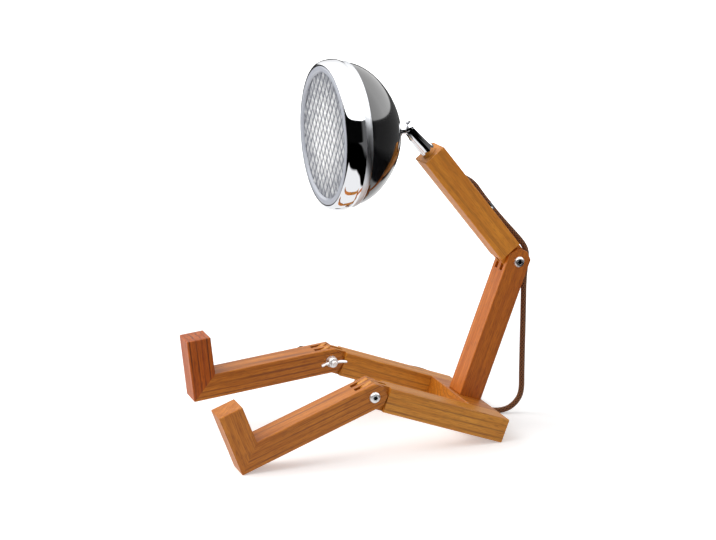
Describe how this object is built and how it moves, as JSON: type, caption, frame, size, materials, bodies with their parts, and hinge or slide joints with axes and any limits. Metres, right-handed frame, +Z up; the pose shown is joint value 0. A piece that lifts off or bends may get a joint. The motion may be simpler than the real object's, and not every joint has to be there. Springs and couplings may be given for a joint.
{
  "type": "desk lamp",
  "caption": "Desk lamp shaped like a sitting figure, with finger-jointed timber legs and torso, and a chrome-rimmed round headlamp on a swivelling neck",
  "frame": {"origin": "on the table, under the middle of the lamp without its cord", "axes": "+Z up, the figure faces -Y, its left leg is on +X"},
  "size_m": [0.2971, 0.3006, 0.3228],
  "materials": {
    "timber": "oiled hardwood, straight grain",
    "dowel_wood": "bare beech",
    "fastener_steel": "bright zinc-plated steel",
    "chrome": "polished chrome plate",
    "shell_paint": "gloss black enamel on steel",
    "lens_glass": "clear moulded glass",
    "gasket_rubber": "black rubber",
    "reflector_metal": "polished reflector",
    "holder_ceramic": "glazed white ceramic",
    "bulb_glass": "opal glass",
    "brass": "turned brass",
    "cord_textile": "dark brown braided textile",
    "flex_plastic": "grey flexible sheath",
    "clip_metal": "dull steel",
    "switch_plastic": "dark brown moulded plastic",
    "plug_plastic": "dark brown moulded plastic",
    "tie_plastic": "soft black strap"
  },
  "bodies": {
    "base": {"thigh_left": "timber", "thigh_right": "timber", "seat_block": "timber", "seat_dowels": "dowel_wood", "lower_torso": "timber", "torso_screws": "fastener_steel", "waist_bolt": "fastener_steel", "washer_waist": "fastener_steel", "cord_drop": "cord_textile", "cord_run": "cord_textile", "cord_coil": "cord_textile", "coil_tie": "tie_plastic", "cord_tail": "cord_textile", "switch_body": "switch_plastic", "plug_relief": "plug_plastic", "plug_body": "plug_plastic", "plug_pins": "fastener_steel"},
    "upper_torso": {"upper_torso": "timber", "neck_nipple": "brass", "cable_clip": "clip_metal", "clip_screws": "fastener_steel", "cord_back": "cord_textile", "cord_waist": "cord_textile"},
    "neck": {"neck_tube": "chrome", "neck_cap": "chrome", "ball_seat": "brass"},
    "head": {"swivel_ball": "chrome", "stud_collar": "chrome", "shell_nut": "fastener_steel", "head_shell": "shell_paint", "bezel": "chrome", "bezel_bead": "chrome", "bezel_screw": "fastener_steel", "lens_gasket": "gasket_rubber", "lens": "lens_glass", "reflector": "reflector_metal", "lampholder": "holder_ceramic", "bulb_base": "brass", "bulb_glass": "bulb_glass", "head_lead": "flex_plastic"},
    "shin_left": {"shin_left": "timber", "foot_left": "timber", "knee_bolt_left": "fastener_steel", "washer_left": "fastener_steel"},
    "shin_right": {"shin_right": "timber", "foot_right": "timber", "knee_bolt_right": "fastener_steel", "washer_right": "fastener_steel"},
    "wing_nut_left": {"wing_nut_left": "fastener_steel"},
    "wing_nut_right": {"wing_nut_right": "fastener_steel"},
    "wing_nut_waist": {"wing_nut_waist": "fastener_steel"},
    "switch_rocker": {"switch_rocker": "switch_plastic"}
  },
  "joints": [
    {"name": "knee_left", "type": "hinge", "parent": "base", "child": "shin_left", "pos_m": [0.053, -0.01565, 0.05335], "axis": [1, 0, 0], "range_deg": [-136, 55]},
    {"name": "knee_right", "type": "hinge", "parent": "base", "child": "shin_right", "pos_m": [-0.053, -0.01565, 0.05335], "axis": [1, 0, 0], "range_deg": [-122, 70]},
    {"name": "waist", "type": "hinge", "parent": "base", "child": "upper_torso", "pos_m": [0, 0.1364, 0.14158], "axis": [1, 0, 0], "range_deg": [-90, 36], "deforming": ["cord_waist"]},
    {"name": "neck_swivel", "type": "hinge", "parent": "upper_torso", "child": "neck", "pos_m": [0, 0.05754, 0.23985], "axis": [0, -0.6259, 0.7799], "range_deg": [-160, 160]},
    {"name": "head_tilt", "type": "hinge", "parent": "neck", "child": "head", "pos_m": [0, 0.04095, 0.26051], "axis": [1, 0, 0], "range_deg": [-50, 45]},
    {"name": "wing_nut_left_turn", "type": "hinge", "parent": "shin_left", "child": "wing_nut_left", "pos_m": [0.038, -0.01565, 0.05335], "axis": [1, 0, 0], "continuous": true},
    {"name": "wing_nut_right_turn", "type": "hinge", "parent": "shin_right", "child": "wing_nut_right", "pos_m": [-0.038, -0.01565, 0.05335], "axis": [1, 0, 0], "continuous": true},
    {"name": "wing_nut_waist_turn", "type": "hinge", "parent": "base", "child": "wing_nut_waist", "pos_m": [-0.015, 0.1364, 0.14158], "axis": [1, 0, 0], "continuous": true},
    {"name": "switch_press", "type": "hinge", "parent": "base", "child": "switch_rocker", "pos_m": [-0.056, 0.113, 0.0086], "axis": [0, 1, 0], "range_deg": [0, 16]}
  ]
}
